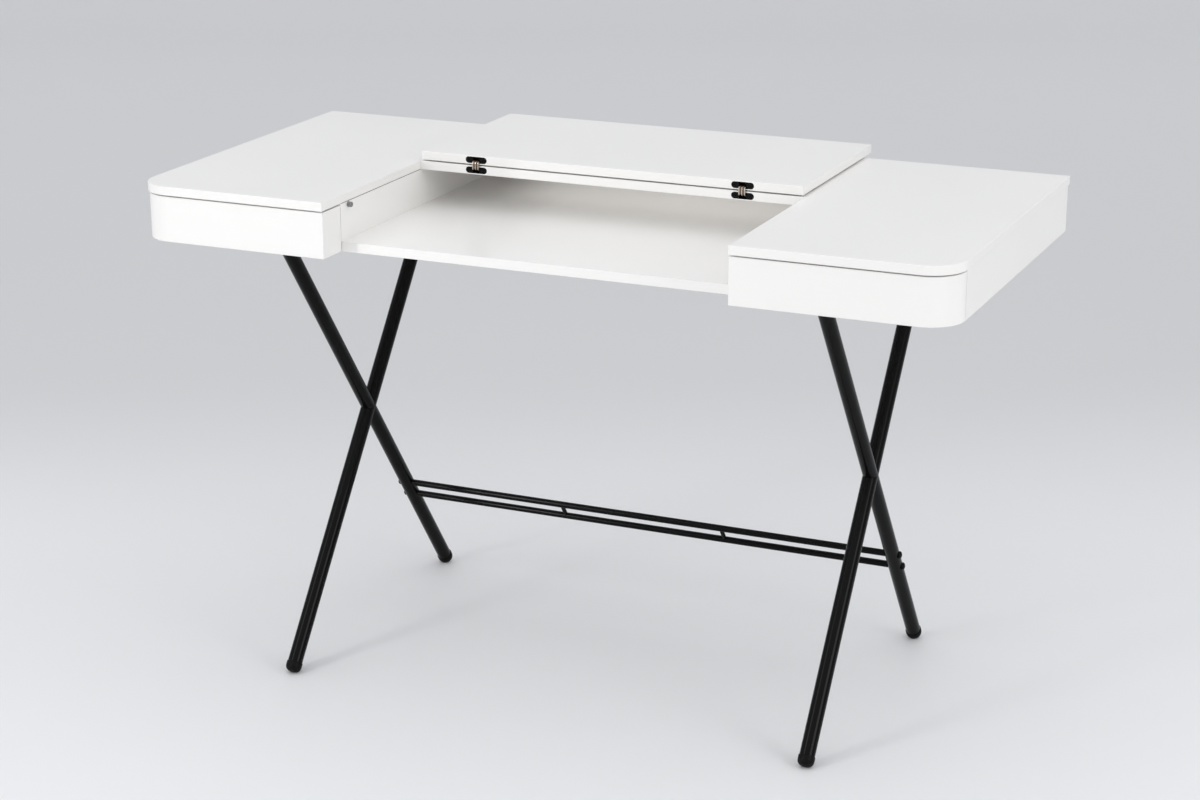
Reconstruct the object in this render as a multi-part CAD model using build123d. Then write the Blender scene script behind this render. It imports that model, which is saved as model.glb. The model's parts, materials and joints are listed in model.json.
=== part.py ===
from build123d import *

import os

# A writing desk: two shallow boxes with a drawer each, an open bay between them, a fixed rear leaf,
# a front leaf that flips back onto it on concealed hinges, and two X frames of steel tube.
# Sizes are in millimetres. X runs to the right, Y to the back and Z up. The origin is on the floor,
# under the middle of the whole desk with its front leaf folded back.

# Worktop
desk_width = 1210.0
desk_depth = 570.0
desk_height = 740.0
bay_width = 600.0
top_thick = 13.0
corner_radius = 50.0
edge_break = 0.6
lid_overhang = 2.0

# Boxes under the lids
box_height = 81.0
panel_thick = 13.0
bottom_thick = 14.0
front_depth = 50.0
seam_gap = 1.0
reveal = 2.0

# Leaves
hinge_setback = 294.0
leaf_depth = 302.0
leaf_side_gap = 2.0
leaf_edge_gap = 1.5
fold_gap = 2.0

# Pins that carry the front leaf when it is shut
support_pin_diameter = 9.0
support_pin_reach = 10.0
support_shank_diameter = 5.0
support_shank_length = 9.0
support_pin_setback = 22.0
rest_clearance = 0.3

# Concealed hinges
hinge_centre = 208.0
cup_length = 34.0
cup_height = 9.6
cup_depth = 10.0
pocket_wall = 0.5
pocket_depth = 8.4
plate_thick = 1.8
plate_gap = 0.3
rear_plate_count = 2
stack_side_gap = 0.4
plate_width = 2.4
plate_bend_radius = 2.0
pivot_back = 3.6
pivot_drop = 4.8
plate_front = 1.4
tail_rise = 6.0
tail_back = 1.3
pivot_pin_diameter = 1.4
pivot_pin_seat = 1.5
crossing_pin_diameter = 1.0
running_clearance = 0.05
fit_clearance = 0.02
crossing_travel = 2.4

# Drawers
drawer_length = 450.0
drawer_side_thick = 12.0
drawer_side_height = 42.0
drawer_floor_gap = 5.0
drawer_bottom_thick = 5.0
drawer_bottom_rise = 6.0
groove_depth = 5.0
finger_groove_length = 120.0
finger_groove_width = 16.0
finger_groove_depth = 12.0
finger_groove_setback = 22.0

# Runner rails: a channel on the box, with a smaller channel on the drawer running inside it
rail_length = 400.0
rail_height = 24.0
rail_space = 12.7
rail_sheet = 1.2
rail_clearance = 0.3
rail_setback = 7.0

# Legs
tube_diameter = 22.0
tube_wall = 1.5
leg_offset = 105.0
long_leg_top_setback = 72.0
short_leg_top_inset = 30.0
front_foot_setback = 51.0
back_foot_inset = 25.0
cap_diameter = 24.0
cap_skirt = 8.0
cap_flat = 0.5
plate_length = 56.0
leg_plate_width = 56.0
leg_plate_thick = 4.0
leg_plate_corner = 8.0
leg_plate_edge = 2.0

# Stretcher between the long legs
rod_diameter = 10.0
lower_rod_height = 158.0
rod_pitch = 29.7
spacer_diameter = 6.5
spacer_centre = 133.0
rod_screw_shank = 6.0
rod_screw_length = 40.0
rod_screw_head = 13.0
rod_screw_head_height = 6.0

# Places that follow from the sizes
leaf_overhang = max(hinge_setback + leaf_depth - desk_depth, 0.0)
front_y = -(desk_depth + leaf_overhang) / 2
back_y = front_y + desk_depth
hinge_edge_y = front_y + hinge_setback
fold_y = hinge_edge_y - leaf_edge_gap / 2
fold_z = desk_height + fold_gap / 2
half_bay = bay_width / 2
half_width = desk_width / 2
lid_under_z = desk_height - top_thick
under_z = desk_height - box_height
floor_z = under_z + bottom_thick
box_front_y = front_y + lid_overhang
box_back_y = back_y - lid_overhang
box_side_x = half_width - lid_overhang
seam_y = box_front_y + front_depth
front_back_y = seam_y - seam_gap / 2
panel_front_y = seam_y + seam_gap / 2
back_panel_y = box_back_y - panel_thick
leg_x = half_bay + leg_offset


def block(x0, x1, y0, y1, z0, z1):
    """A board given by its faces."""
    size = Box(x1 - x0, y1 - y0, z1 - z0)
    return Pos((x0 + x1) / 2, (y0 + y1) / 2, (z0 + z1) / 2) * size


def eased(board):
    """The board with the edges of its upper and lower faces broken."""
    faces = board.faces().sort_by(Axis.Z)
    return chamfer(faces[0].edges() + faces[-1].edges(), edge_break)


def corner_board(x0, x1, y0, y1, z0, z1, radius):
    """A board with its front right corner rounded."""
    board = block(x0, x1, y0, y1, z0, z1)
    corner = board.edges().filter_by(Axis.Z).sort_by(lambda e: e.center().X - e.center().Y)[-1]
    return eased(fillet(corner, radius))


def rod(start, end, diameter):
    """A round bar between two points."""
    axis = Vector(end) - Vector(start)
    place = Plane(origin=start, z_dir=axis)
    return place * extrude(Circle(diameter / 2), axis.length)


def x_rod(x0, x1, y, z, diameter):
    return rod((x0, y, z), (x1, y, z), diameter)


def left_of(shape):
    """The same piece on the left side."""
    return mirror(shape, about=Plane.YZ)


def both(shape):
    """The piece and its mirror image in one node."""
    return Part() + [*shape.solids(), *left_of(shape).solids()]


def hinge_pair(shape):
    """One hinge's pieces at both hinges."""
    right = Pos(hinge_centre, 0, 0) * shape
    left = Pos(-hinge_centre, 0, 0) * shape
    return Part() + [*right.solids(), *left.solids()]


# Lids, boxes and shelf

def lid():
    return corner_board(half_bay, half_width, front_y, back_y, lid_under_z, desk_height, corner_radius)


def inner_side():
    board = block(half_bay, half_bay + panel_thick, panel_front_y, box_back_y, under_z, lid_under_z)
    return board - support_pin(fit_clearance)


def outer_side():
    x0 = box_side_x - panel_thick
    return block(x0, box_side_x, panel_front_y, box_back_y, under_z, lid_under_z)


def box_bottom():
    x0 = half_bay + panel_thick
    x1 = box_side_x - panel_thick
    return block(x0, x1, panel_front_y, box_back_y, under_z, floor_z)


def box_back():
    x0 = half_bay + panel_thick
    x1 = box_side_x - panel_thick
    return block(x0, x1, back_panel_y, box_back_y, floor_z, lid_under_z)


def shelf():
    return block(-half_bay, half_bay, panel_front_y, box_back_y, under_z, floor_z)


def bay_back():
    return block(-half_bay, half_bay, back_panel_y, box_back_y, floor_z, lid_under_z)


def support_pin(clearance=0.0):
    """A turned pin: a shank in the side panel and a larger head in the bay."""
    z = lid_under_z - rest_clearance - support_pin_diameter / 2
    y = panel_front_y + support_pin_setback
    grow = 2 * clearance
    shank_end = half_bay + support_shank_length + clearance
    shank = x_rod(half_bay, shank_end, y, z, support_shank_diameter + grow)
    head = x_rod(half_bay - support_pin_reach, half_bay, y, z, support_pin_diameter)
    rim = head.edges().filter_by(GeomType.CIRCLE).sort_by(Axis.X)[0]
    return shank + chamfer(rim, edge_break)


# Leaves

def rear_leaf():
    board = block(-half_bay, half_bay, hinge_edge_y, back_y, lid_under_z, desk_height)
    board = chamfer(board.edges().filter_by(Axis.X), edge_break)
    return board - hinge_pair(cup_block(fit_clearance))


def front_leaf():
    half = half_bay - leaf_side_gap
    under = desk_height + fold_gap
    board = block(-half, half, hinge_edge_y, hinge_edge_y + leaf_depth, under, under + top_thick)
    return eased(board) - hinge_pair(folded(cup_block(fit_clearance)))


def folded(shape):
    """A piece of the rear half of a hinge, turned over into the folded front leaf."""
    return mirror(shape, about=Plane.XY.offset(fold_z))


# Concealed hinge, drawn at X = 0 about the fold axis

plate_count = 2 * rear_plate_count + 1
stack_width = plate_count * plate_thick + (plate_count - 1) * plate_gap
pocket_width = stack_width + 2 * stack_side_gap
cup_z = desk_height - top_thick / 2


def cup_block(clearance=0.0):
    """The stadium shaped body of a cup, let into the leaf's edge."""
    outline = SlotOverall(cup_length + 2 * clearance, cup_height + 2 * clearance)
    face = Plane(origin=(0, hinge_edge_y, cup_z), x_dir=(1, 0, 0), z_dir=(0, 1, 0))
    return face * extrude(outline, cup_depth + clearance)


def rear_cup():
    pocket_height = cup_height - 2 * pocket_wall
    pocket = block(
        -pocket_width / 2,
        pocket_width / 2,
        hinge_edge_y,
        hinge_edge_y + pocket_depth,
        cup_z - pocket_height / 2,
        cup_z + pocket_height / 2,
    )
    return cup_block() - pocket - rear_pivot_pin(fit_clearance)


def rear_pivot_pin(clearance=0.0):
    half = pocket_width / 2 + pivot_pin_seat + clearance
    return x_rod(-half, half, fold_y + pivot_back, fold_z - pivot_drop, pivot_pin_diameter + 2 * clearance)


def link_outline(slot):
    """A C shaped link: eye behind the leaf's edge, straight back in front of it, tail in the other cup."""
    path = FilletPolyline(
        (pivot_back, -pivot_drop),
        (-plate_front, -pivot_drop),
        (-plate_front, tail_rise),
        (tail_back, tail_rise),
        radius=plate_bend_radius,
    )
    outline = trace(path, plate_width)
    outline = outline + Pos(pivot_back, -pivot_drop) * Circle(plate_width / 2)
    outline = outline + Pos(tail_back, tail_rise) * Circle(plate_width / 2)
    outline = outline - Pos(pivot_back, -pivot_drop) * Circle(pivot_pin_diameter / 2 + running_clearance)
    return outline - Pos(-plate_front, 0) * slot


def link_plates(outline, first, count):
    """Every second plate of the stack, starting at the one numbered first."""
    pitch = plate_thick + plate_gap
    plate = extrude(outline, plate_thick)
    start = -stack_width / 2
    place = Plane(origin=(0, fold_y, fold_z), x_dir=(0, 1, 0), z_dir=(1, 0, 0))
    plates = [Pos(start + pitch * (first + 2 * n), 0, 0) * (place * plate) for n in range(count)]
    return Part() + plates


def rear_links():
    width = crossing_pin_diameter + 2 * running_clearance
    slot = Rot(0, 0, 90) * SlotCenterToCenter(2 * crossing_travel, width)
    return link_plates(link_outline(slot), 1, rear_plate_count)


def front_links():
    hole = Circle(crossing_pin_diameter / 2 + fit_clearance)
    return folded(link_plates(link_outline(hole), 0, rear_plate_count + 1))


def crossing_pin():
    half = stack_width / 2
    return x_rod(-half, half, fold_y - plate_front, fold_z, crossing_pin_diameter)


# Drawers

def finger_groove():
    """A routed pull under the drawer front."""
    x = (half_bay + box_side_x) / 2
    outline = SlotOverall(finger_groove_length, finger_groove_width)
    return Pos(x, box_front_y + finger_groove_setback, under_z) * extrude(outline, finger_groove_depth)


def drawer_front():
    radius = min(corner_radius - lid_overhang, front_depth - seam_gap)
    top = lid_under_z - reveal
    front = corner_board(half_bay, box_side_x, box_front_y, front_back_y, under_z, top, radius)
    return front - finger_groove()


drawer_x0 = half_bay + panel_thick + rail_space
drawer_x1 = box_side_x - panel_thick - rail_space
drawer_back_y = front_back_y + drawer_length
drawer_z0 = floor_z + drawer_floor_gap
drawer_z1 = drawer_z0 + drawer_side_height
drawer_bottom_z = drawer_z0 + drawer_bottom_rise


def drawer_bottom():
    return block(
        drawer_x0 + drawer_side_thick - groove_depth,
        drawer_x1 - drawer_side_thick + groove_depth,
        front_back_y,
        drawer_back_y - drawer_side_thick + groove_depth,
        drawer_bottom_z,
        drawer_bottom_z + drawer_bottom_thick,
    )


def drawer_side(x0):
    side = block(x0, x0 + drawer_side_thick, front_back_y, drawer_back_y, drawer_z0, drawer_z1)
    side = chamfer(side.edges().filter_by(Axis.Y).group_by(Axis.Z)[-1], edge_break)
    return side - drawer_bottom()


def drawer_back():
    x0 = drawer_x0 + drawer_side_thick
    x1 = drawer_x1 - drawer_side_thick
    back = block(x0, x1, drawer_back_y - drawer_side_thick, drawer_back_y, drawer_z0, drawer_z1)
    return back - drawer_bottom()


def channel(depth, height, length):
    """A channel along Y from y = 0, its web on X = 0 and its flanges towards +X."""
    outline = Rectangle(depth, height, align=(Align.MIN, Align.CENTER))
    hollow = Pos(rail_sheet, 0) * Rectangle(depth, height - 2 * rail_sheet, align=(Align.MIN, Align.CENTER))
    place = Plane(origin=(0, 0, 0), x_dir=(1, 0, 0), z_dir=(0, -1, 0))
    return place * extrude(outline - hollow, -length)


rail_z = (drawer_z0 + drawer_z1) / 2


def box_rails():
    """Both fixed channels of the right box, open towards the drawer."""
    rail = channel(rail_space - rail_clearance, rail_height, rail_length)
    rail = Pos(0, panel_front_y + rail_setback, rail_z) * rail
    inner = Pos(half_bay + panel_thick, 0, 0) * rail
    outer = Pos(box_side_x - panel_thick, 0, 0) * mirror(rail, about=Plane.YZ)
    return Part() + [inner, outer]


def drawer_rails():
    """Both sliding channels of the right drawer, open towards the box."""
    height = rail_height - 2 * rail_sheet - 2 * rail_clearance
    rail = channel(rail_space - rail_sheet - rail_clearance, height, rail_length)
    rail = Pos(0, panel_front_y + rail_setback, rail_z) * rail
    inner = Pos(drawer_x0, 0, 0) * mirror(rail, about=Plane.YZ)
    outer = Pos(drawer_x1, 0, 0) * rail
    return Part() + [inner, outer]


# Legs, drawn for the right side

cap_z = cap_diameter / 2 - cap_flat
plate_z = under_z - leg_plate_thick
long_top = (leg_x, front_y + long_leg_top_setback, under_z)
long_foot = (leg_x, back_y - back_foot_inset, cap_z)
short_top = (leg_x, back_y - short_leg_top_inset, under_z)
short_foot = (leg_x, front_y + front_foot_setback, cap_z)


def tube(top, foot, bore=True):
    """A steel tube from the mounting plate's underside down to its foot."""
    axis = (Vector(top) - Vector(foot)).normalized()
    start = Vector(foot)
    end = Vector(top) + axis * tube_diameter
    pipe = rod(start, end, tube_diameter)
    if bore:
        pipe = pipe - rod(start, end, tube_diameter - 2 * tube_wall)
    margin = 2 * tube_diameter
    above = block(top[0] - margin, top[0] + margin, top[1] - margin, top[1] + margin, plate_z, plate_z + 2 * margin)
    return pipe - above


def long_leg():
    return tube(long_top, long_foot) - rod_screws(running_clearance)


def crossing_z():
    """Height at which the two tube axes of one frame meet."""
    rise = under_z - cap_z
    long_run = long_foot[1] - long_top[1]
    short_run = short_foot[1] - short_top[1]
    share = (short_top[1] - long_top[1]) / (long_run - short_run)
    return under_z - rise * share


def short_leg_pieces():
    """The other tube, cut in two at the long one and coped to it."""
    pieces = tube(short_top, short_foot) - tube(long_top, long_foot, bore=False)
    upper, lower = pieces.solids().sort_by(Axis.Z)[-1], pieces.solids().sort_by(Axis.Z)[0]
    return upper, lower


def foot_cap(top, foot):
    """A rounded cap over the tube's end, with a small flat on the floor."""
    radius = cap_diameter / 2
    profile = Polyline((0, 0), (radius, 0), (radius, cap_skirt), (0, cap_skirt), close=True)
    skirt = revolve(make_face(Plane.XZ * profile), Axis.Z)
    ball = Sphere(radius, arc_size1=-90, arc_size2=0, align=(Align.CENTER, Align.CENTER, Align.MAX))
    cap = skirt + ball
    cap = cap - extrude(Circle(tube_diameter / 2 + fit_clearance), cap_skirt)
    place = Plane(origin=foot, x_dir=(1, 0, 0), z_dir=Vector(top) - Vector(foot))
    cap = place * cap
    floor = Pos(foot[0], foot[1], -cap_diameter / 2) * Box(2 * cap_diameter, 2 * cap_diameter, cap_diameter)
    return cap - floor


def plate_centres():
    """Centres of the two mounting plates of the right frame."""
    front = panel_front_y + leg_plate_edge + plate_length / 2
    back = box_back_y - leg_plate_edge - plate_length / 2
    return [(leg_x, front), (leg_x, back)]


def leg_plates():
    outline = RectangleRounded(leg_plate_width, plate_length, leg_plate_corner)
    plate = extrude(outline, leg_plate_thick)
    return Part() + [Pos(x, y, plate_z) * plate for x, y in plate_centres()]


# Stretcher

def on_long_leg(z):
    """Y of the long tube's axis at a height."""
    share = (under_z - z) / (under_z - cap_z)
    return long_top[1] + (long_foot[1] - long_top[1]) * share


leg_axis = (Vector(long_top) - Vector(long_foot)).normalized()
lower_rod = (on_long_leg(lower_rod_height), lower_rod_height)
upper_rod = (lower_rod[0] + rod_pitch * leg_axis.Y, lower_rod[1] + rod_pitch * leg_axis.Z)


def stretcher(place):
    """A rod between the two long legs, coped to the tubes and bored for its end screws."""
    y, z = place
    bar = x_rod(-leg_x, leg_x, y, z, rod_diameter)
    right_tube = tube(long_top, long_foot, bore=False)
    screws = rod_screws(fit_clearance)
    return bar - right_tube - left_of(right_tube) - screws - left_of(screws)


def rod_screws(clearance=0.0):
    """Dome head screws through the right long leg into the ends of both rods."""
    tube_side = leg_x + tube_diameter / 2
    shank_diameter = rod_screw_shank + 2 * clearance
    dome = Rot(0, 90, 0) * dome_head(rod_screw_head / 2, rod_screw_head_height)
    screws = []
    for y, z in (lower_rod, upper_rod):
        shank = x_rod(tube_side - rod_screw_length, tube_side, y, z, shank_diameter)
        screws.append(shank + Pos(tube_side, y, z) * dome)
    return Part() + screws


def dome_head(radius, height):
    """A low dome standing on Z = 0."""
    ball_radius = (radius**2 + height**2) / (2 * height)
    ball = Pos(0, 0, height - ball_radius) * Sphere(ball_radius)
    above = Pos(0, 0, height / 2) * Box(4 * radius, 4 * radius, height)
    return ball & above


def spacer(x):
    """A short bar between the two rods, coped to both."""
    start = (x, *lower_rod)
    end = (x, *upper_rod)
    bar = rod(start, end, spacer_diameter)
    for y, z in (lower_rod, upper_rod):
        bar = bar - x_rod(x - rod_diameter, x + rod_diameter, y, z, rod_diameter)
    return bar


def side_pieces():
    """Pieces of the right side, which the left side mirrors."""
    upper, lower = short_leg_pieces()
    return {
        "lid": lid(),
        "inner_side_panel": inner_side(),
        "outer_side_panel": outer_side(),
        "box_bottom": box_bottom(),
        "box_back": box_back(),
        "box_rails": box_rails(),
        "drawer_front": drawer_front(),
        "drawer_inner_side": drawer_side(drawer_x0),
        "drawer_outer_side": drawer_side(drawer_x1 - drawer_side_thick),
        "drawer_back": drawer_back(),
        "drawer_bottom": drawer_bottom(),
        "drawer_rails": drawer_rails(),
        "long_leg_tube": long_leg(),
        "short_leg_upper_tube": upper,
        "short_leg_lower_tube": lower,
    }


def centre_pieces():
    """Pieces that stand alone or hold both sides' fasteners."""
    caps = Part() + [foot_cap(long_top, long_foot), foot_cap(short_top, short_foot)]
    return {
        "shelf": shelf(),
        "bay_back_rail": bay_back(),
        "rear_leaf": rear_leaf(),
        "front_leaf": front_leaf(),
        "leaf_support_pins": both(support_pin()),
        "hinge_rear_cups": hinge_pair(rear_cup()),
        "hinge_front_cups": hinge_pair(folded(rear_cup())),
        "hinge_rear_links": hinge_pair(rear_links()),
        "hinge_front_links": hinge_pair(front_links()),
        "hinge_rear_pivot_pins": hinge_pair(rear_pivot_pin()),
        "hinge_front_pivot_pins": hinge_pair(folded(rear_pivot_pin())),
        "hinge_crossing_pins": hinge_pair(crossing_pin()),
        "leg_mounting_plates": both(leg_plates()),
        "foot_caps": both(caps),
        "upper_stretcher_rod": stretcher(upper_rod),
        "lower_stretcher_rod": stretcher(lower_rod),
        "stretcher_spacers": both(spacer(spacer_centre)),
        "stretcher_screws": both(rod_screws()),
    }


def main():
    os.makedirs("parts", exist_ok=True)
    pieces = centre_pieces()
    for name, shape in side_pieces().items():
        pieces["right_" + name] = shape
        pieces["left_" + name] = left_of(shape)
    for name, shape in pieces.items():
        export_step(shape, "parts/" + name + ".step")


main()
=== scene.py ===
import json
import math
from itertools import product

import bmesh
import bpy
from mathutils import Matrix, Vector


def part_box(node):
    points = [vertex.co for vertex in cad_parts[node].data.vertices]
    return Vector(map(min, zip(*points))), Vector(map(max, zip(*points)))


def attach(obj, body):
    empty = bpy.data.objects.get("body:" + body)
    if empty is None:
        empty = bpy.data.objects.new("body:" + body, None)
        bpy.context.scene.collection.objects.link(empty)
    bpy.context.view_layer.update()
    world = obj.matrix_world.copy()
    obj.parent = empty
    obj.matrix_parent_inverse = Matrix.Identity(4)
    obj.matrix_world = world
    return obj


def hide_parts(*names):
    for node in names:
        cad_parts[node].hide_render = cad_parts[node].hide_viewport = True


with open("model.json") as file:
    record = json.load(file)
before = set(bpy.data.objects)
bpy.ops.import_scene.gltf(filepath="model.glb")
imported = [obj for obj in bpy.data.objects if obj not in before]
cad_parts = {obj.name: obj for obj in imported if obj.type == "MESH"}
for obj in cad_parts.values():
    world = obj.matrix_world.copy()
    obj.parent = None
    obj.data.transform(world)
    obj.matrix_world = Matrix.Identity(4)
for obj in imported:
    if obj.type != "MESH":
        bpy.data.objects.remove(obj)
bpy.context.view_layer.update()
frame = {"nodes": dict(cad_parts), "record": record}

# Lengths are in metres and angles in radians, apart from the camera's sensor, which is in millimetres.

# Camera, found from the photograph
IMAGE_WIDTH = 1200
FOCAL_PIXELS = 2577.87
SENSOR_WIDTH = 36.0
CAMERA_PLACE = Vector((1.45324, -3.30994, 1.55980))
CAMERA_YAW = 0.417
CAMERA_PITCH = 0.309
CAMERA_ROLL = -0.003
CAMERA_REACH = 60.0

# Floor and backdrop, with painted light and shade. Each tone is a distance behind the desk's middle and the
# grey painted on the paper there: lighter near the camera and darkest behind the desk, standing in for the
# fall of the light.
FLOOR_HALF = 14.0
BACKDROP_DISTANCE = 5.5
BACKDROP_BEND = 2.5
BACKDROP_HEIGHT = 6.0
BACKDROP_STEPS = 24
BACKDROP_PAINTED_SHADE = [(-0.6, 0.77), (0.4, 0.73), (1.5, 0.605), (5.4, 0.67)]
BACKDROP_TINT = (1.0, 1.003, 1.012)

# The room's light at the horizon and overhead
HORIZON_STRENGTH = 0.43
ZENITH_STRENGTH = 1.26
ROOM_COLOUR = (0.97, 0.985, 1.01, 1.0)

# Soft boxes: name, place, target, width, height and power. The last is a faint fill under the rear leaf.
SOFT_BOXES = [
    ("key_box", (-2.3, -3.0, 2.9), (0.0, 0.0, 0.6), 1.2, 1.2, 15.0),
    ("left_strip", (-1.9, -3.4, 1.1), (-0.1, 0.0, 0.6), 0.30, 1.8, 28.0),
    ("side_box", (3.6, -1.2, 1.6), (0.3, 0.0, 0.7), 1.6, 1.6, 30.0),
    ("bay_fill", (0.03, 0.165, 0.7262), (0.03, 0.165, 0.0), 0.48, 0.16, 0.095),
]

# Surfaces. Noise mostly stays between these two values.
NOISE_LOW = 0.25
NOISE_HIGH = 0.75
NOISE_ROUGHNESS = 0.55
BEVEL_SAMPLES = 6

# Powder coats: darkest tone, lightest tone, roughness and strength of the texture
BLACK_COATS = {
    "black_steel": ((0.0022, 0.0022, 0.0024), (0.0038, 0.0038, 0.0041), 0.15, 0.02),
    "black_cap": ((0.0030, 0.0030, 0.0030), (0.0055, 0.0055, 0.0055), 0.42, 0.05),
    "black_cup": ((0.0020, 0.0020, 0.0020), (0.0045, 0.0045, 0.0045), 0.40, 0.08),
}

# Bare metals: darkest tone, lightest tone, roughness and stretch of the scratches
BARE_METALS = {
    "zinc_rail": ((0.55, 0.56, 0.57), (0.68, 0.69, 0.70), 0.35, (1.0, 0.05, 1.0)),
    "hinge_link": ((0.34, 0.30, 0.24), (0.56, 0.51, 0.42), 0.30, (1.0, 1.0, 0.08)),
    "dark_link": ((0.075, 0.048, 0.036), (0.17, 0.11, 0.085), 0.36, (1.0, 1.0, 0.08)),
    "steel_pin": ((0.20, 0.20, 0.20), (0.33, 0.33, 0.32), 0.34, (0.08, 1.0, 1.0)),
}

# Nodes drawn with another material than the one that their slot names. The rear links get a darker copy of
# the link metal.
OWN_FINISH = {"hinge_rear_links": "dark_link"}

# Lines of the desk that the trim follows. A leg is the Y and Z of its axis at the top and at the foot.
BAY_HALF = 0.300
LID_UNDER_Z = 0.727
LEG_X = 0.405
TUBE_RADIUS = 0.011
LONG_LEG = ((-0.226, 0.659), (0.247, 0.0115))
SHORT_LEG = ((0.242, 0.659), (-0.247, 0.0115))

# Turned pieces, as radius and height along their own axis
RIM_STEPS = 32
PIN_PROFILE = [
    (0.0025, -0.009), (0.0025, 0.0), (0.0038, 0.0), (0.0041, 0.0003),
    (0.0041, 0.0019), (0.0038, 0.0022), (0.0026, 0.0023), (0.0026, 0.0034),
    (0.0034, 0.0035), (0.0038, 0.0039), (0.0038, 0.0056), (0.0033, 0.0063),
    (0.0020, 0.0066),
]
DOME_PROFILE = [
    (0.0060, -0.0004), (0.0060, 0.0003), (0.0056, 0.0014),
    (0.0046, 0.0025), (0.0032, 0.0032), (0.0026, 0.0033),
]
SOCKET_FLAT = 0.0019
SOCKET_DEPTH = 0.0016
CAP_PROFILE = [
    (0.0018, -0.0099), (0.0042, -0.0096), (0.0070, -0.0087), (0.0093, -0.0071), (0.0109, -0.0049),
    (0.0118, -0.0022), (0.0120, 0.0), (0.0120, 0.0051), (0.0116, 0.0056), (0.0111, 0.0056),
]
CAP_DROP = 0.0014

# Cross recessed screws. The rim is in shares of the head's radius and rise, and each recess in its rise.
CROSS_RIM = [(1.0, 0.0), (0.97, 0.55), (0.82, 0.92), (0.62, 1.0)]
CROSS_CORE = 0.16
CROSS_ARM = 0.34
CROSS_NARROWNESS = 6
CUP_LENGTH = 0.034
CUP_SCREW_HEAD = 0.0056
CUP_SCREW_PROUD = 0.00012
CUP_SCREW_RECESS = 0.9
PLATE_WIDTH = 0.056
PLATE_SCREW_HEAD = 0.0085
PLATE_SCREW_RISE = 0.0022
PLATE_SCREW_RECESS = 0.6
PLATE_SCREW_INSET = 0.009

# Painted shadow along the joint under each lid: a dark strip where only the gap's shade falls. A section is
# its place along Y and its share of the full height.
SEAM_FRONT_Y = -0.2455
SEAM_BACK_Y = -0.0045
SEAM_HEIGHT = 0.0006
SEAM_PROUD = 0.0001
SEAM_CREST = 0.6
SEAM_TAPER = 0.002
SEAM_END = 0.3
SEAM_SECTIONS = [
    (SEAM_FRONT_Y, SEAM_END),
    (SEAM_FRONT_Y + SEAM_TAPER, 1.0),
    (SEAM_BACK_Y - SEAM_TAPER, 1.0),
    (SEAM_BACK_Y, SEAM_END),
]


def node_material(name):
    """A new material, its node tree and its Principled shader."""
    material = bpy.data.materials.new(name)
    material.use_nodes = True
    tree = material.node_tree
    shader = tree.nodes["Principled BSDF"]
    return material, tree, shader


def noise(tree, scale, detail, stretch=(1.0, 1.0, 1.0)):
    """Noise in object space, stretched along the axes."""
    place = tree.nodes.new("ShaderNodeTexCoord")
    mapping = tree.nodes.new("ShaderNodeMapping")
    mapping.inputs["Scale"].default_value = stretch
    texture = tree.nodes.new("ShaderNodeTexNoise")
    texture.inputs["Scale"].default_value = scale
    texture.inputs["Detail"].default_value = detail
    texture.inputs["Roughness"].default_value = NOISE_ROUGHNESS
    tree.links.new(place.outputs["Object"], mapping.inputs["Vector"])
    tree.links.new(mapping.outputs["Vector"], texture.inputs["Vector"])
    return texture.outputs["Fac"]


def ranged(tree, value, low, high):
    """Noise mapped to low..high."""
    node = tree.nodes.new("ShaderNodeMapRange")
    node.inputs["From Min"].default_value = NOISE_LOW
    node.inputs["From Max"].default_value = NOISE_HIGH
    node.inputs["To Min"].default_value = low
    node.inputs["To Max"].default_value = high
    tree.links.new(value, node.inputs["Value"])
    return node.outputs["Result"]


def mixed(tree, factor, first, second):
    """A colour between two, by the factor."""
    node = tree.nodes.new("ShaderNodeMix")
    node.data_type = "RGBA"
    node.inputs["A"].default_value = (*first, 1.0)
    node.inputs["B"].default_value = (*second, 1.0)
    tree.links.new(factor, node.inputs["Factor"])
    return node.outputs["Result"]


def bumped(tree, shader, height, strength, distance, edge_radius):
    """Bump from a height, over edges that look rounded."""
    bump = tree.nodes.new("ShaderNodeBump")
    bump.inputs["Strength"].default_value = strength
    bump.inputs["Distance"].default_value = distance
    bevel = tree.nodes.new("ShaderNodeBevel")
    bevel.samples = BEVEL_SAMPLES
    bevel.inputs["Radius"].default_value = edge_radius
    tree.links.new(height, bump.inputs["Height"])
    tree.links.new(bevel.outputs["Normal"], bump.inputs["Normal"])
    tree.links.new(bump.outputs["Normal"], shader.inputs["Normal"])


def white_lacquer():
    """Satin lacquer on board: faint mottling, a soft orange peel and a clear top coat."""
    material, tree, shader = node_material("white_lacquer")
    broad = noise(tree, scale=3.0, detail=4.0)
    fine = noise(tree, scale=380.0, detail=2.0)
    shade = mixed(tree, broad, (0.852, 0.838, 0.818), (0.882, 0.868, 0.846))
    tree.links.new(shade, shader.inputs["Base Color"])
    tree.links.new(ranged(tree, broad, low=0.30, high=0.38), shader.inputs["Roughness"])
    shader.inputs["IOR"].default_value = 1.47
    shader.inputs["Coat Weight"].default_value = 0.35
    shader.inputs["Coat Roughness"].default_value = 0.22
    bumped(tree, shader, fine, strength=0.06, distance=0.0004, edge_radius=0.0009)
    return material


def drawer_board():
    """Matt melamine inside the drawers, with a faint print grain."""
    material, tree, shader = node_material("drawer_board")
    grain = noise(tree, scale=60.0, detail=6.0, stretch=(1.0, 0.06, 1.0))
    shade = mixed(tree, grain, (0.76, 0.75, 0.73), (0.83, 0.82, 0.80))
    tree.links.new(shade, shader.inputs["Base Color"])
    tree.links.new(ranged(tree, grain, low=0.48, high=0.6), shader.inputs["Roughness"])
    bumped(tree, shader, grain, strength=0.08, distance=0.0004, edge_radius=0.0005)
    return material


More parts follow.
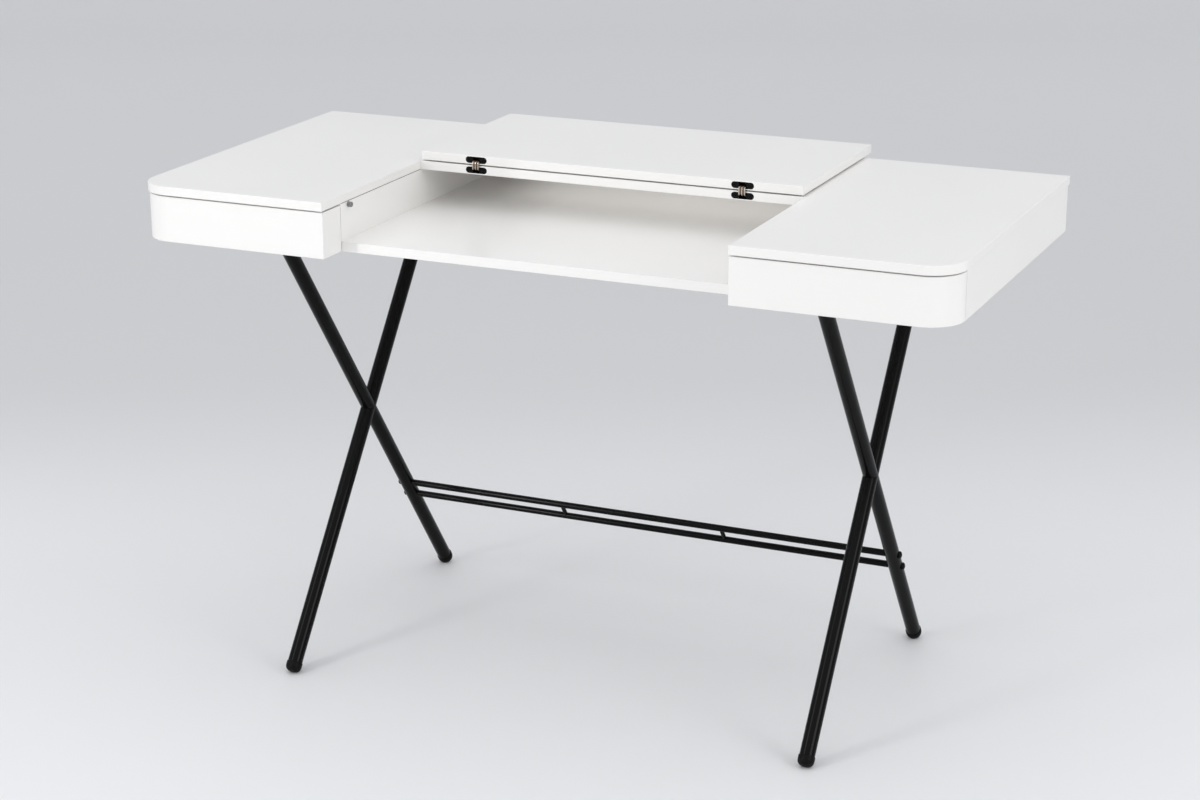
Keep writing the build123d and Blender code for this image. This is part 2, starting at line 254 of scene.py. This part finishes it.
def black_coat(name, darkest, lightest, roughness, texture):
    """Black powder coat: a fine texture that breaks up the highlights."""
    material, tree, shader = node_material(name)
    broad = noise(tree, scale=9.0, detail=5.0)
    fine = noise(tree, scale=1400.0, detail=2.0)
    tree.links.new(mixed(tree, broad, darkest, lightest), shader.inputs["Base Color"])
    tree.links.new(ranged(tree, broad, roughness - 0.04, roughness + 0.05), shader.inputs["Roughness"])
    shader.inputs["Specular IOR Level"].default_value = 0.09
    bumped(tree, shader, fine, texture, distance=0.00025, edge_radius=0.0004)
    return material


def brushed_metal(name, darkest, lightest, roughness, stretch):
    """Bare metal with fine scratches along one axis."""
    material, tree, shader = node_material(name)
    scratches = noise(tree, scale=900.0, detail=4.0, stretch=stretch)
    tone = noise(tree, scale=60.0, detail=3.0)
    tree.links.new(mixed(tree, tone, darkest, lightest), shader.inputs["Base Color"])
    tree.links.new(ranged(tree, scratches, roughness - 0.08, roughness + 0.1), shader.inputs["Roughness"])
    shader.inputs["Metallic"].default_value = 1.0
    bumped(tree, shader, scratches, strength=0.15, distance=0.0001, edge_radius=0.0002)
    return material


MATERIALS = {"white_lacquer": white_lacquer(), "drawer_board": drawer_board()}
for coat_name, coat in BLACK_COATS.items():
    MATERIALS[coat_name] = black_coat(coat_name, *coat)
for metal_name, metal in BARE_METALS.items():
    MATERIALS[metal_name] = brushed_metal(metal_name, *metal)


def dress_nodes():
    """Gives each CAD node its material, and smooth shading within each of its faces."""
    slots = {part["node"]: part["material_slot"] for part in frame["record"]["subparts"]}
    for name, node in frame["nodes"].items():
        finish = OWN_FINISH.get(name, slots[name])
        node.data.materials.clear()
        node.data.materials.append(MATERIALS[finish])
        for polygon in node.data.polygons:
            polygon.use_smooth = True


def piece(name, mesh, slot, body):
    """A finished mesh as a piece that rides on a body."""
    mesh.normal_update()
    data = bpy.data.meshes.new(name)
    mesh.to_mesh(data)
    mesh.free()
    made = bpy.data.objects.new(name, data)
    bpy.context.scene.collection.objects.link(made)
    data.materials.append(MATERIALS[slot])
    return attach(made, body)


def ring(mesh, place, radius, height):
    """A loop of points round the place's Z axis. The radius may depend on the turn."""
    loop = []
    for step in range(RIM_STEPS):
        turn = 2 * math.pi * step / RIM_STEPS
        reach = radius(turn) if callable(radius) else radius
        loop.append(mesh.verts.new(place @ Vector((reach * math.cos(turn), reach * math.sin(turn), height))))
    return loop


def closed(mesh, loops, smooth):
    """Faces from each loop to the next, and one over each end."""
    for near, far in zip(loops, loops[1:]):
        for step in range(len(near)):
            after = (step + 1) % len(near)
            face = mesh.faces.new((near[step], near[after], far[after], far[step]))
            face.smooth = smooth
    mesh.faces.new(reversed(loops[0]))
    mesh.faces.new(loops[-1])


def turned(mesh, place, profile):
    """A closed turned shape on the place's Z axis, from its first ring to its last."""
    loops = [ring(mesh, place, radius, height) for radius, height in profile]
    closed(mesh, loops, smooth=True)


def screw_head(mesh, place, radius, rise, recess):
    """A cross recessed head on the place's XY plane, added to a mesh."""
    def arm(turn):
        return radius * (CROSS_CORE + CROSS_ARM * abs(math.cos(2 * turn)) ** CROSS_NARROWNESS)

    rim = [(radius * wide, rise * high) for wide, high in CROSS_RIM]
    turned(mesh, place, rim + [(arm, rise), (arm, rise - recess)])


def lying(axis_x, place):
    """A place whose Z axis points along +X or -X."""
    return Matrix.Translation(place) @ Matrix.Rotation(axis_x * math.pi / 2, 4, "Y")


def support_pins():
    """Turned pins with a collar and a head, which carry the front leaf when it is shut."""
    low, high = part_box("leaf_support_pins")
    mesh = bmesh.new()
    for side in (-1, 1):
        place = lying(-side, (side * BAY_HALF, (low.y + high.y) / 2, (low.z + high.z) / 2))
        turned(mesh, place, PIN_PROFILE)
    pins = piece("turned_support_pins", mesh, "steel_pin", "desk_frame")
    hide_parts("leaf_support_pins")


def rod_end_screws():
    """Low domed heads with a hexagon socket, on the outer sides of the long legs."""
    def socket(turn):
        return SOCKET_FLAT / math.cos((turn + math.pi / 6) % (math.pi / 3) - math.pi / 6)

    top = DOME_PROFILE[-1][1]
    profile = DOME_PROFILE + [(socket, top), (socket, top - SOCKET_DEPTH)]
    mesh = bmesh.new()
    for rod in ("upper_stretcher_rod", "lower_stretcher_rod"):
        low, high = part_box(rod)
        for side in (-1, 1):
            place = (side * (LEG_X + TUBE_RADIUS), (low.y + high.y) / 2, (low.z + high.z) / 2)
            turned(mesh, lying(side, place), profile)
    heads = piece("domed_screw_heads", mesh, "black_steel", "desk_frame")
    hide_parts("stretcher_screws")


def leg_caps():
    """Moulded caps on the four feet, flattened where they stand."""
    mesh = bmesh.new()
    for side in (-1, 1):
        for top, foot in (LONG_LEG, SHORT_LEG):
            start = Vector((side * LEG_X, *foot))
            axis = (Vector((side * LEG_X, *top)) - start).normalized()
            tilt = axis.to_track_quat("Z", "Y").to_matrix().to_4x4()
            turned(mesh, Matrix.Translation(start - axis * CAP_DROP) @ tilt, CAP_PROFILE)
    for vertex in mesh.verts:
        vertex.co.z = max(vertex.co.z, 0.0)
    caps = piece("moulded_foot_caps", mesh, "black_cap", "desk_frame")
    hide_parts("foot_caps")


def cup_screws(name, node, body):
    """The two screw heads in the face of each hinge cup."""
    low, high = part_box(node)
    radius = (high.z - low.z) / 2
    mesh = bmesh.new()
    for side in (-1, 1):
        outer = high.x if side > 0 else -low.x
        inner = outer - CUP_LENGTH
        for x in (outer - radius, inner + radius):
            place = Matrix.Translation((side * x, low.y, (low.z + high.z) / 2))
            place = place @ Matrix.Rotation(math.pi / 2, 4, "X")
            screw_head(mesh, place, CUP_SCREW_HEAD / 2, CUP_SCREW_PROUD, CUP_SCREW_PROUD * CUP_SCREW_RECESS)
    piece(name, mesh, "black_cup", body)


def plate_screws():
    """Four pan heads under each mounting plate."""
    low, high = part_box("leg_mounting_plates")
    half = PLATE_WIDTH / 2
    reach = half - PLATE_SCREW_INSET
    recess = PLATE_SCREW_RISE * PLATE_SCREW_RECESS
    mesh = bmesh.new()
    for side, middle_y, dx, dy in product((-1, 1), (low.y + half, high.y - half), (-1, 1), (-1, 1)):
        middle_x = side * (high.x - half)
        place = Matrix.Translation((middle_x + dx * reach, middle_y + dy * reach, low.z))
        place = place @ Matrix.Rotation(math.pi, 4, "X")
        screw_head(mesh, place, PLATE_SCREW_HEAD / 2, PLATE_SCREW_RISE, recess)
    piece("plate_screw_heads", mesh, "black_steel", "desk_frame")


def lid_seam_shadows():
    """A painted shadow: a dark strip along the joint between each lid and its inner side panel, standing in
    for the gap's shade, with tapered ends.
    """
    mesh = bmesh.new()
    for side in (-1, 1):
        loops = []
        for y, share in SEAM_SECTIONS:
            half = SEAM_HEIGHT / 2 * share
            inner = side * (BAY_HALF - SEAM_PROUD * share)
            outer = side * (BAY_HALF + SEAM_PROUD)
            crest = half * SEAM_CREST
            corners = ((outer, -half), (inner, -crest), (inner, crest), (outer, half))
            loops.append([mesh.verts.new((x, y, LID_UNDER_Z + rise)) for x, rise in corners])
        closed(mesh, loops, smooth=False)
    bmesh.ops.recalc_face_normals(mesh, faces=mesh.faces)
    # The black strip is painted shadow in the gap between lid and panel.
    piece("lid_seam_painted_shadows", mesh, "black_cap", "desk_frame")


def backdrop_paper_painted_shade(back):
    """Pale paper with painted light and shade: its grey changes with the distance along a direction, lighter
    near the camera and darkest behind the desk, with a faint mottle.
    """
    material, tree, shader = node_material("backdrop_paper_painted_shade")
    cloud = noise(tree, scale=0.8, detail=2.0)
    place = tree.nodes.new("ShaderNodeTexCoord")
    reach = tree.nodes.new("ShaderNodeVectorMath")
    reach.operation = "DOT_PRODUCT"
    reach.inputs[1].default_value = back
    nearest = BACKDROP_PAINTED_SHADE[0][0]
    furthest = BACKDROP_PAINTED_SHADE[-1][0]
    share = tree.nodes.new("ShaderNodeMapRange")
    share.inputs["From Min"].default_value = nearest
    share.inputs["From Max"].default_value = furthest
    painted_shade_ramp = tree.nodes.new("ShaderNodeValToRGB")
    painted_shade_ramp.color_ramp.interpolation = "EASE"
    while len(painted_shade_ramp.color_ramp.elements) < len(BACKDROP_PAINTED_SHADE):
        painted_shade_ramp.color_ramp.elements.new(0.5)
    # The ramp's greys are painted light and shade, not the paper's own colour.
    for element, (distance, tone) in zip(painted_shade_ramp.color_ramp.elements, BACKDROP_PAINTED_SHADE):
        element.position = (distance - nearest) / (furthest - nearest)
        element.color = (*(tone * tint for tint in BACKDROP_TINT), 1.0)
    mottle = tree.nodes.new("ShaderNodeMix")
    mottle.data_type = "RGBA"
    mottle.blend_type = "MULTIPLY"
    mottle.inputs["Factor"].default_value = 1.0
    tree.links.new(place.outputs["Object"], reach.inputs[0])
    tree.links.new(reach.outputs["Value"], share.inputs["Value"])
    tree.links.new(share.outputs["Result"], painted_shade_ramp.inputs["Fac"])
    tree.links.new(painted_shade_ramp.outputs["Color"], mottle.inputs["A"])
    tree.links.new(mixed(tree, cloud, (0.985, 0.985, 0.985), (1.0, 1.0, 1.0)), mottle.inputs["B"])
    tree.links.new(mottle.outputs["Result"], shader.inputs["Base Color"])
    tree.links.new(ranged(tree, cloud, low=0.50, high=0.58), shader.inputs["Roughness"])
    return material


def backdrop():
    """A pale floor that sweeps up into a wall behind the desk."""
    back = Vector((-math.sin(CAMERA_YAW), math.cos(CAMERA_YAW), 0.0))
    side = Vector((back.y, -back.x, 0.0))
    profile = [(-FLOOR_HALF, 0.0), (BACKDROP_DISTANCE, 0.0)]
    for step in range(1, BACKDROP_STEPS + 1):
        turn = math.pi / 2 * step / BACKDROP_STEPS
        reach = BACKDROP_DISTANCE + BACKDROP_BEND * math.sin(turn)
        profile.append((reach, BACKDROP_BEND * (1 - math.cos(turn))))
    profile.append((BACKDROP_DISTANCE + BACKDROP_BEND, BACKDROP_HEIGHT))
    mesh = bmesh.new()
    rows = []
    for reach, height in profile:
        point = back * reach + Vector((0.0, 0.0, height))
        rows.append([mesh.verts.new(point + side * x) for x in (-FLOOR_HALF, FLOOR_HALF)])
    for near, far in zip(rows, rows[1:]):
        face = mesh.faces.new((near[0], near[1], far[1], far[0]))
        face.smooth = True
    data = bpy.data.meshes.new("backdrop")
    mesh.to_mesh(data)
    mesh.free()
    data.materials.append(backdrop_paper_painted_shade(back))
    sweep = bpy.data.objects.new("backdrop", data)
    bpy.context.scene.collection.objects.link(sweep)


def area_light(name, place, target, width, height, power):
    """A soft box that faces the target and that the camera doesn't see."""
    lamp = bpy.data.lights.new(name, "AREA")
    lamp.shape = "RECTANGLE"
    lamp.size = width
    lamp.size_y = height
    lamp.energy = power
    holder = bpy.data.objects.new(name, lamp)
    bpy.context.scene.collection.objects.link(holder)
    holder.location = place
    holder.visible_camera = False
    holder.rotation_euler = (Vector(target) - Vector(place)).to_track_quat("-Z", "Y").to_euler()


def studio_light():
    """A pale room that is brighter overhead, and the soft boxes."""
    world = bpy.data.worlds.new("studio")
    world.use_nodes = True
    tree = world.node_tree
    background = tree.nodes["Background"]
    background.inputs["Color"].default_value = ROOM_COLOUR
    direction = tree.nodes.new("ShaderNodeTexCoord")
    parts = tree.nodes.new("ShaderNodeSeparateXYZ")
    strength = tree.nodes.new("ShaderNodeMapRange")
    strength.inputs["To Min"].default_value = HORIZON_STRENGTH
    strength.inputs["To Max"].default_value = ZENITH_STRENGTH
    tree.links.new(direction.outputs["Generated"], parts.inputs["Vector"])
    tree.links.new(parts.outputs["Z"], strength.inputs["Value"])
    tree.links.new(strength.outputs["Result"], background.inputs["Strength"])
    bpy.context.scene.world = world
    for box in SOFT_BOXES:
        area_light(*box)


def camera():
    """The photograph's camera."""
    forward = Vector((
        -math.sin(CAMERA_YAW) * math.cos(CAMERA_PITCH),
        math.cos(CAMERA_YAW) * math.cos(CAMERA_PITCH),
        -math.sin(CAMERA_PITCH),
    ))
    right = forward.cross(Vector((0.0, 0.0, 1.0))).normalized()
    up = right.cross(forward)
    rolled_right = math.cos(CAMERA_ROLL) * right + math.sin(CAMERA_ROLL) * up
    rolled_up = -math.sin(CAMERA_ROLL) * right + math.cos(CAMERA_ROLL) * up
    turn = Matrix((rolled_right, rolled_up, -forward)).transposed()
    data = bpy.data.cameras.new("camera")
    data.sensor_fit = "HORIZONTAL"
    data.sensor_width = SENSOR_WIDTH
    data.lens = FOCAL_PIXELS / IMAGE_WIDTH * SENSOR_WIDTH
    data.clip_end = CAMERA_REACH
    holder = bpy.data.objects.new("camera", data)
    bpy.context.scene.collection.objects.link(holder)
    holder.matrix_world = Matrix.Translation(CAMERA_PLACE) @ turn.to_4x4()
    bpy.context.scene.camera = holder


dress_nodes()
cup_screws("rear_cup_screw_heads", "hinge_rear_cups", "desk_frame")
cup_screws("front_cup_screw_heads", "hinge_front_cups", "front_leaf")
plate_screws()
support_pins()
rod_end_screws()
leg_caps()
lid_seam_shadows()
backdrop()
studio_light()
camera()

scene = bpy.context.scene
scene.view_settings.view_transform = "Standard"
